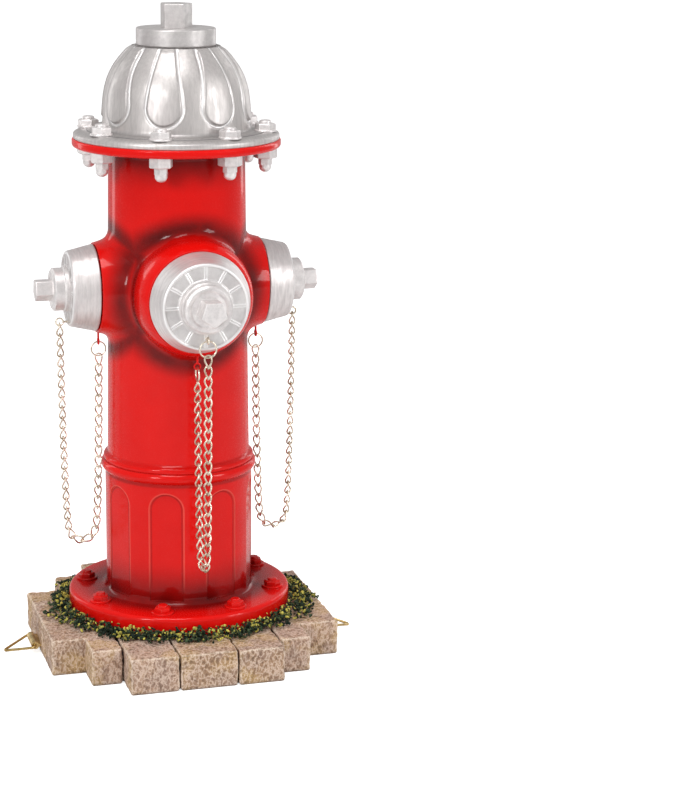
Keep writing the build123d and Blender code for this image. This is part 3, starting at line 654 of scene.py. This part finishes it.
def bonnet_surface(columns=480, dome_rows=120):
    """Turned outline: dome, foot round, land, thin rim, underside, spigot and lining, closed to a shell."""
    dome = smooth_line(dome_knots, dome_rows)[::-1]
    foot = [(41.6, 300.4), (42.3, 299.4), (43.8, 299.0), (46.0, 299.0), (48.0, 299.0), (49.4, 299.0),
            (49.9, 298.9), (50.1, 298.5), (50.3, 298.4)]
    rest = refined([
        (50.7, 298.4), (54.5, 298.4), (56.7, 297.2), (57.3, 296.8), (57.6, 296.3), (57.6, 294.3),
        (57.2, 293.9), (33.4, 293.9), (33.4, 289.9), (29.5, 289.9), (29.5, 297.0), (37.4, 300.0),
        (36.6, 310.0), (34.9, 322.0), (31.0, 331.0), (21.8, 342.0), (5.1, 342.1), (5.1, DOME_TOP)], 6.0)[:-4]
    outline = np.concatenate([dome, foot, rest])
    tangent = np.gradient(outline, axis=0)
    normal = np.stack([-tangent[:, 1], tangent[:, 0]], -1)
    normal /= np.linalg.norm(normal, axis=1, keepdims=True)
    on_dome = (np.arange(len(outline)) < dome_rows)[:, None]
    angle = np.arange(columns) * 2 * np.pi / columns
    pitch = 2 * np.pi / PANEL_COUNT
    local = (angle - PANEL_TURN + pitch / 2) % pitch - pitch / 2
    across = outline[:, :1] * np.sin(local)[None, :]
    away = teardrop_distance(across, outline[:, 1:] + 0 * across)
    inside = 1 / (1 + np.exp((away + 0.9) / 0.16))
    bead = np.exp(-(away / BEAD_HALF) ** 2)
    fade = np.clip((DOME_TOP - outline[:, 1:]) / 2.5, 0, 1)
    shift = np.where(on_dome, (bead * BEAD_HEIGHT - inside * PANEL_DEPTH) * fade, 0.0)
    radius = outline[:, :1] + shift * normal[:, :1] * -1
    height = outline[:, 1:] + shift * normal[:, 1:] * -1
    points = np.stack([radius * np.cos(angle), radius * np.sin(angle), height + 0 * angle], -1)
    points += waves(points, 9.0, 5)[..., None] * 0.05 * on_dome[..., None]
    # Where the painted shade goes (grooves round the panels, the floor of the foot, the ledge) and where the
    # painted highlight goes (the beads).
    groove = np.exp(-((np.abs(away) - 1.35) / 0.45) ** 2) * on_dome
    floor_of_foot = np.exp(-((outline[:, 1:] - 299.3) / 1.2) ** 2) * (outline[:, :1] > 40) * (1 + 0 * across)
    ledge = (np.abs(outline[:, :1] - 50.3) < 0.3) * (outline[:, 1:] > 298) * (1 + 0 * across)
    return points, np.clip(0.35 * groove + 0.5 * floor_of_foot + 0.9 * ledge, 0, 1), bead * on_dome


points, hollow, ridge = bonnet_surface()
faces = facing_out(points, grid_faces(*points.shape[:2], close_rows=True, close_columns=True))
dome_piece = new_piece("bonnet_dome", points * MM, faces, silver_bonnet,
                       numbers={"hollow": hollow, "ridge": ridge})
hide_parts("bonnet")

# %% [markdown]
# ## Nozzle caps
# Each cap is turned: a tapered side, a rounded rim band, a recessed ring and a raised disc in the middle.
# Across the recess run pairs of thin raised bars, twelve pairs to the circle. A height added to the turned
# surface makes them, a function of the angle and the distance from the centre line. A little roughness in
# the casting keeps the silver from looking machined.

# %% Caps
BAR_PAIRS, BAR_HALF, BAR_SPREAD, BAR_HEIGHT = 12, 0.26, 0.60, 0.60


def cap_surface(turn_angle, seam, rim, face, face_radius, collar, bore, columns=420):
    """Turned outline in (reach, radius) with paired bars raised on the recessed ring of the face."""
    recess = face - 0.75
    outline = refined([
        (face - 5, 4.1), (face, 4.1), (face, collar + 1.0), (recess, collar + 1.5),
        (recess, face_radius - 1.9), (face - 0.1, face_radius - 1.5), (face, face_radius - 1.2),
        (face, face_radius - 0.8), (face - 0.3, face_radius - 0.3), (face - 1.2, face_radius + 0.2),
        (seam + 1.6, rim - 0.1), (seam + 0.9, rim),
        (seam + 0.4, rim - 0.5), (seam + 0.4, bore - 0.1), (seam - 6, bore - 0.1), (seam - 6, bore - 3),
        (face - 5, bore - 3)], 0.6)
    reach, radius = outline[:, :1], outline[:, 1:]
    phi = np.arange(columns) * 2 * np.pi / columns
    pitch = 2 * np.pi / BAR_PAIRS
    local = (phi + pitch / 2) % pitch - pitch / 2
    across = radius * local[None, :]
    bar = 1 / (1 + np.exp((np.abs(np.abs(across) - BAR_SPREAD) - BAR_HALF) / 0.09))
    ring = (reach > face - 0.9) & (radius > collar + 1.2) & (radius < face_radius - 1.8)
    raised = np.where(ring, bar * BAR_HEIGHT, 0.0)
    sideways = (reach < face - 1.0) & (reach > seam) & (radius > bore)
    out = np.array([math.cos(turn_angle), math.sin(turn_angle), 0.0])
    side = np.array([-math.sin(turn_angle), math.cos(turn_angle), 0.0])
    up = np.array([0.0, 0.0, 1.0])
    spoke = np.sin(phi)[:, None] * side + np.cos(phi)[:, None] * up
    points = (reach + raised)[..., None] * out + radius[..., None] * spoke
    rough = waves(points, 7.0, 21) * 0.05
    points -= np.where(sideways, np.abs(rough), 0.0)[..., None] * spoke
    points[..., 2] += NOZZLE_AXIS
    in_seam = (reach < seam + 0.9) & (radius > bore)
    # Painted shade in the recess of the face and in the seam; painted highlight on the bars and on the rim of
    # the face.
    hollow = np.where(ring, (1 - bar) * 0.20, 0.0) + np.where(in_seam, 0.9, 0.0)
    painted_highlight_mask = np.where(ring, bar, 0.0) + 0.7 * ((reach > face - 0.35) & (radius > face_radius - 1.6))
    return points, np.clip(hollow + 0 * across, 0, 1), painted_highlight_mask


cap_sizes = {                    # name: (angle, seam, rim, face, face radius, collar radius, bore)
    "left": (180.0, 47.6, 24.5, 63.5, 21.2, 12.7, 20.0),
    "right": (0.0, 47.6, 24.5, 63.5, 21.2, 12.7, 20.0),
    "front": (-90.0, 55.0, 28.2, 69.5, 24.0, 13.9, 23.5),
}
for name, (angle, *sizes) in cap_sizes.items():
    points, hollow, ridge = cap_surface(math.radians(angle), *sizes)
    faces = facing_out(points, grid_faces(*points.shape[:2], close_rows=True, close_columns=True))
    cap = new_piece(f"{name}_ribbed_cap", points * MM, faces,
                    silver_front_cap if name == "front" else silver_side_cap,
                    numbers={"hollow": hollow, "ridge": ridge})
    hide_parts(f"{name}_cap")

# %% [markdown]
# ## Paved base
# The base is one casting made to look like separate stone blocks. Here each block is its own rounded box
# with a chipped, pitted skin, and a dark filling a little lower shows in the joints. A rounded box comes
# from one rule: every point of a box grid is pushed out from the nearest point of a smaller inner box.

# %% Paved base
TOP = 21.1
pavers = [                       # (x from, x to, y from, y to) of each block, the front row first
    (-48, -20, -91, -52), (-20, 13.2, -91, -54), (13.2, 40.2, -91, -52), (40.2, 58.5, -79, -48),
    (-66, -48, -71.5, -44), (-84.5, -50, -50, -17), (-84.5, -56, -17, 14), (-84.5, -52, 14, 38),
    (50, 81, -57, -24), (56, 81, -24, 8), (52, 81, 8, 38), (40, 61, 38, 62), (-64, -42, 38, 62),
    (-44, -16, 50, 84), (-16, 14, 54, 84), (14, 42, 50, 84)]
fillings = [(-46, 38.5, -87.5, -45), (-81, -45, -46, 34), (45, 77.5, -53, 34), (-41, 39, 45, 80.5),
            (-62, 56, -68, 58)]
GAP = 0.25                       # half of the joint between two blocks
BLOCK_ROUND, BLOCK_STEP = 1.5, 1.2
FILLING_DROP, FILLING_LIFT, FILLING_ROUND, FILLING_STEP = 3.4, 0.2, 0.8, 6.0


def box_grid(counts):
    """Points of a box's skin on a whole-number grid, each once, and the quads between them."""
    points, faces, start = [], [], 0
    for axis in range(3):
        u, v = (axis + 1) % 3, (axis + 2) % 3
        for side in (0, counts[axis]):
            grid = np.zeros((counts[u] + 1, counts[v] + 1, 3), int)
            grid[..., axis] = side
            grid[..., u], grid[..., v] = np.meshgrid(
                np.arange(counts[u] + 1), np.arange(counts[v] + 1), indexing="ij")
            quads = grid_faces(counts[u] + 1, counts[v] + 1) + start
            faces.append(quads[:, ::-1] if side else quads)
            points.append(grid.reshape(-1, 3))
            start += points[-1].shape[0]
    unique, places = np.unique(np.concatenate(points), axis=0, return_inverse=True)
    return unique, places.reshape(-1)[np.concatenate(faces)]


def rounded_block(low, high, radius, step):
    """A box whose edges are rounded, its outward directions and its quads."""
    low, high = np.asarray(low, float), np.asarray(high, float)
    counts = np.maximum(3, np.round((high - low) / step)).astype(int)
    lattice, faces = box_grid(counts)
    raw = low + lattice / counts * (high - low)
    inner = np.clip(raw, low + radius, high - radius)
    direction = raw - inner
    direction /= np.linalg.norm(direction, axis=1, keepdims=True)
    return inner + direction * radius, direction, faces


all_points, all_faces, tones, rims, hollows = [], [], [], [], []
draw = np.random.default_rng(11)
start = 0
for x0, x1, y0, y1 in pavers:
    top = TOP - draw.uniform(0.0, 0.5)
    block, direction, quads = rounded_block(
        (x0 + GAP, y0 + GAP, 0), (x1 - GAP, y1 - GAP, top), BLOCK_ROUND, BLOCK_STEP)
    rim = np.clip((1 - np.abs(direction).max(1)) / 0.25, 0, 1)
    seed = int(draw.integers(1000))
    rough = (waves(block, 14.0, seed) * 0.16 + waves(block, 6.0, seed + 1) * 0.12
             + waves(block, 3.2, seed + 2) * 0.14)
    pits = np.clip(waves(block, 5.0, seed + 3) - 1.4, 0, 1) * 0.8
    sunk = np.clip(0.25 + rough, 0.0, None) * (1.0 + 0.5 * rim) + pits
    sunk *= np.clip(block[:, 2] / 1.5, 0, 1)
    shaped = block - direction * sunk[:, None]
    all_points.append(shaped)
    all_faces.append(facing_out(shaped - shaped.mean(0), quads) + start)
    tones.append(np.full(len(block), draw.uniform(0.0, 1.0)))
    # Edges to lighten, all but the lower ones: dry-brushed and partly a painted highlight.
    rims.append(rim * (direction[:, 2] > -0.2))
    # The cast pits and the lowest 1.6 mm of each block take the dark joint colour, darker towards the bottom.
    hollows.append(np.clip(pits * 0.6 + np.clip(1.6 - block[:, 2], 0, 1) * 0.5, 0, 1))
    start += len(block)
for x0, x1, y0, y1 in fillings:
    block, direction, quads = rounded_block(
        (x0, y0, FILLING_LIFT), (x1, y1, TOP - FILLING_DROP), FILLING_ROUND, FILLING_STEP)
    all_points.append(block)
    all_faces.append(facing_out(block - block.mean(0), quads) + start)
    tones.append(np.zeros(len(block)))
    rims.append(np.zeros(len(block)))
    hollows.append(np.ones(len(block)))
    start += len(block)
paving = new_piece("paved_base", np.concatenate(all_points) * MM, np.concatenate(all_faces), stone,
                   numbers={"tone": np.concatenate(tones), "rim": np.concatenate(rims),
                                           "hollow": np.concatenate(hollows)})
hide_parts("stone_base")

# %% [markdown]
# ## Moss
# A ring of moss crumbs is glued round the barrel foot, wider at the right and uneven at the front. One crumb
# is a jittered lump of twenty faces. All crumbs are placed with array arithmetic: a random angle, a random
# reach inside the ring, a random turn and size, and a brightness that picks out the yellow-green tips; it is
# partly random and grows with the crumb's height. Slow waves round the ring gather the bright tips into
# clusters.

# %% Moss
MOSS_INSIDE, MOSS_OUTSIDE, MOSS_HEIGHT = 64.9, 74.5, 5.4


def lump():
    """The twelve corners and twenty faces of a small lump, from three golden rectangles."""
    g = (1 + 5 ** 0.5) / 2
    a = np.array([(-1, g, 0), (1, g, 0), (-1, -g, 0), (1, -g, 0), (0, -1, g), (0, 1, g),
                  (0, -1, -g), (0, 1, -g), (g, 0, -1), (g, 0, 1), (-g, 0, -1), (-g, 0, 1)], float)
    f = np.array([(0, 11, 5), (0, 5, 1), (0, 1, 7), (0, 7, 10), (0, 10, 11), (1, 5, 9), (5, 11, 4),
                  (11, 10, 2), (10, 7, 6), (7, 1, 8), (3, 9, 4), (3, 4, 2), (3, 2, 6), (3, 6, 8), (3, 8, 9),
                  (4, 9, 5), (2, 4, 11), (6, 2, 10), (8, 6, 7), (9, 8, 1)])
    return a / np.hypot(1, g), f


def moss_edge(angle):
    """Outer radius of the moss round the circle: bulges to the right front and to the left."""
    def bulge(centre, spread):
        """A bell round the circle, one at its centre."""
        away = (angle - math.radians(centre) + np.pi) % (2 * np.pi) - np.pi
        return np.exp(-(away / math.radians(spread)) ** 2)
    clump = np.sin(13 * angle) * np.sin(5 * angle + 1) + 0.6 * np.sin(29 * angle + 2)
    return MOSS_OUTSIDE + 7.0 * bulge(-22, 24) + 3.5 * bulge(192, 22) + 3.2 * clump


def moss_crumbs(count=3800, seed=3):
    """Corners, faces and tip brightness of all crumbs: turned, stretched lumps at random places."""
    draw = np.random.default_rng(seed)
    corners, quads = lump()
    angle = draw.uniform(0, 2 * np.pi, count)
    share = draw.beta(1.1, 1.2, count)
    reach = MOSS_INSIDE + (moss_edge(angle) - MOSS_INSIDE) * share
    size = draw.uniform(0.65, 1.45, count)
    height = TOP + 0.3 + draw.uniform(0, 1, count) * MOSS_HEIGHT * np.sqrt(np.clip(1 - share, 0, 1)) + 0.5
    centre = np.stack([reach * np.cos(angle), reach * np.sin(angle), height], -1)
    turn = np.linalg.qr(draw.normal(size=(count, 3, 3)))[0]
    flat = np.array([1.0, 0.75, 0.42]) * draw.uniform(0.8, 1.2, (count, 1, 3))
    shape = corners * flat * (1 + draw.normal(size=(count, 12, 1)) * 0.16)
    shape = np.einsum("nij,nkj->nki", turn, shape) * size[:, None, None] + centre[:, None, :]
    shape[..., 2] = np.maximum(shape[..., 2], TOP - 1.2)
    handed = np.linalg.det(turn) < 0
    faces = np.where(handed[:, None, None], quads[None, :, ::-1], quads[None])
    faces = faces + np.arange(count)[:, None, None] * len(corners)
    cluster = 0.5 + 0.3 * np.sin(17 * angle + 1) + 0.3 * np.sin(31 * angle) * np.sin(7 * angle + 2)
    # The tip value is partly random and grows with the height of the crumb, so lower crumbs are darker.
    tip = np.clip((draw.beta(0.9, 1.5, count) * (0.55 + 0.95 * cluster))[:, None] + corners[None, :, 2] * 0.12
                  + (height[:, None] - TOP - 2.5) * 0.05, 0, 1)
    return shape, faces.reshape(-1, 3), tip


points, faces, tip = moss_crumbs()
crumbs = new_piece("moss_crumbs", points * MM, faces, moss, numbers={"tip": tip}, smooth=False)
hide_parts("moss_ring")

# %% [markdown]
# ## Hanging chains
# Three loops of fine curb chain hang from the barrel to the caps. The line of a chain follows from its
# weight alone: the level pull is the same everywhere, and the upright pull grows by one link per link, so
# the slope of each link is the last one's plus a constant. Both unknowns are found by halving until the
# links span the gap.

# %% The line of a hanging chain
LINK_PITCH, LINK_WIRE, LINK_GAP, LINK_HALF = 6.0, 0.5, 0.4, 1.55
LARGEST_TURN = math.radians(44.0)


def link_slopes(span, drop, count):
    """Slopes of the links between two hooks, steepest turn limited where the wires jam."""
    def slopes(bend, lowest):
        """Slope of each link when the lowest point and the bend from link to link are known."""
        step = np.arange(count) - lowest
        lean = np.minimum(LARGEST_TURN * np.abs(step), np.arctan(bend * np.abs(step)))
        return np.copysign(np.tan(lean), step)

    def fitted(lowest):
        """The bend is halved towards the one that spans the gap."""
        loose, tight = 0.001, 50.0
        for _ in range(60):
            half = math.sqrt(loose * tight)
            if (LINK_PITCH / np.hypot(1, slopes(half, lowest))).sum() > span:
                loose = half
            else:
                tight = half
        return slopes(tight, lowest)

    early, late = 0.0, count - 1.0
    for _ in range(50):
        lowest = (early + late) / 2
        values = fitted(lowest)
        if (LINK_PITCH * values / np.hypot(1, values)).sum() > drop:
            early = lowest
        else:
            late = lowest
    return fitted(lowest)


chains = {                       # name: (angle, reach, height, eye radius, body reach, body height, links)
    "left": (180.0, 67.9, 191.7, 2.1, 46.0, 179.6, 41),
    "right": (0.0, 67.9, 191.7, 2.1, 46.0, 179.6, 41),
    "front": (-90.0, 73.9, 193.2, 1.7, 48.5, 173.2, 40),
}
EYE_WIRE, RING_WIRE, BODY_EYE, BODY_RING, FRONT_RING = 0.5, 0.45, 1.7, 4.1, 4.6


def chain_line(name):
    """Where each link's middle is and which way it points, in millimetres."""
    angle, reach, height, eye, body_reach, body_height, count = chains[name]
    hook = height - eye + EYE_WIRE + LINK_GAP / 2
    if name == "front":
        hook = hook + LINK_GAP / 2 + RING_WIRE - 2 * FRONT_RING + RING_WIRE + LINK_GAP / 2
    ring_top = body_height - BODY_EYE + EYE_WIRE + LINK_GAP + RING_WIRE
    end = ring_top - 2 * BODY_RING + RING_WIRE + LINK_GAP / 2
    slope = link_slopes(reach - body_reach, end - hook, count)
    step = LINK_PITCH * np.stack([-1 / np.hypot(1, slope), slope / np.hypot(1, slope)], -1)
    ends = np.array([reach, hook]) + np.concatenate([np.zeros((1, 2)), np.cumsum(step, 0)])
    centre, along = (ends[1:] + ends[:-1]) / 2, step / LINK_PITCH
    out = np.array([math.cos(math.radians(angle)), math.sin(math.radians(angle)), 0.0])
    up = np.array([0.0, 0.0, 1.0])
    return centre[:, :1] * out + centre[:, 1:] * up, along[:, :1] * out + along[:, 1:] * up, np.cross(up, out)


print("lowest left link", round(float(chain_line("left")[0][:, 2].min()), 1), "mm above the ground")

# %% [markdown]
# ## Curb links
# A curb link is a long oval of wire with a quarter twist, so that every link lies the same way up and the
# chain looks like a flat cord. A torus that is stretched and twisted would do, but the wire would get thick
# and thin. So the middle line of the wire is bent first, and a round section is carried along it. The twist
# slows down towards both ends, where the link has to fit the eye and the ring.

# %% Curb links
OVAL_POWER, HALF_TWIST, FIRST_TURN = 0.80, math.radians(45.0), math.radians(45.0)


def curb_links(name, around=30, section=8):
    """Wire rings along the chain line: a long oval whose plane turns a quarter from one end to the other."""
    centre, along, side = chain_line(name)
    t = np.arange(around) * 2 * np.pi / around
    half_length = (LINK_PITCH + LINK_GAP) / 2 + LINK_WIRE
    half_width = LINK_HALF + LINK_WIRE * 0.9
    x = half_length * np.sign(np.cos(t)) * np.abs(np.cos(t)) ** OVAL_POWER
    y = half_width * np.sign(np.sin(t)) * np.abs(np.sin(t)) ** OVAL_POWER
    share = x / half_length
    twist = HALF_TWIST * (1.5 * share - 0.5 * share ** 3)
    path = np.stack([x, y * np.cos(twist), y * np.sin(twist)], -1)
    tangent = np.roll(path, -1, 0) - np.roll(path, 1, 0)
    tangent /= np.linalg.norm(tangent, axis=1, keepdims=True)
    reference = np.stack([0 * x, -np.sin(twist), np.cos(twist)], -1)
    across = np.cross(tangent, reference)
    across /= np.linalg.norm(across, axis=1, keepdims=True)
    lift = np.cross(across, tangent)
    s = np.arange(section) * 2 * np.pi / section
    tube = path[:, None] + LINK_WIRE * (
        np.cos(s)[None, :, None] * across[:, None] + np.sin(s)[None, :, None] * lift[:, None])
    normal = np.cross(along, side)
    first = np.cos(FIRST_TURN) * side + np.sin(FIRST_TURN) * normal
    second = np.cross(along, first)
    local = tube.reshape(-1, 3)
    points = centre[:, None] + local[None, :, :1] * along[:, None] \
        + local[None, :, 1:2] * first[:, None] + local[None, :, 2:] * second[:, None]
    quads = facing_out(local, grid_faces(around, section, close_rows=True, close_columns=True))
    faces = quads[None] + np.arange(len(centre))[:, None, None] * len(local)
    return points, faces.reshape(-1, 4)


for name in chains:
    points, faces = curb_links(name)
    links = new_piece(f"{name}_curb_chain", points * MM, faces, chain_metal,
                      body=f"{name}_chain")
    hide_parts(f"{name}_chain")

# %% [markdown]
# ## The castings and fasteners that the frame already holds
# Bolts, washers, nuts, the barrel castings, the eyes and the stake loops have their true shape in the frame.
# They only need a finish, so each one's material slots are filled by name. The screw eyes under the nozzle
# bosses were painted over with the barrel, so they are red; the other eyes and the rings are chain metal.

# %% Finishes on the frame's own parts
finishes = {
    "lower_barrel": red, "upper_barrel": red, "base_washers": red, "base_bolts": red,
    "left_body_eye": red, "right_body_eye": red, "front_body_eye": red,
    "bonnet_collar": silver_top, "operating_nut": silver_top, "bonnet_washers": silver_plain,
    "bonnet_bolts": silver_plain, "bonnet_nuts": silver_plain, "acorn_nuts": silver_plain,
    "left_cap_nut": silver_plain, "right_cap_nut": silver_plain, "front_cap_nut": silver_plain,
    "left_loop_sleeve": brass, "right_loop_sleeve": brass,
    "left_stake_loop": brass, "right_stake_loop": brass,
}
for name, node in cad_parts.items():
    finish = finishes.get(name, chain_metal)
    for slot in node.material_slots:
        slot.material = finish
print("finished", len(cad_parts), "nodes")
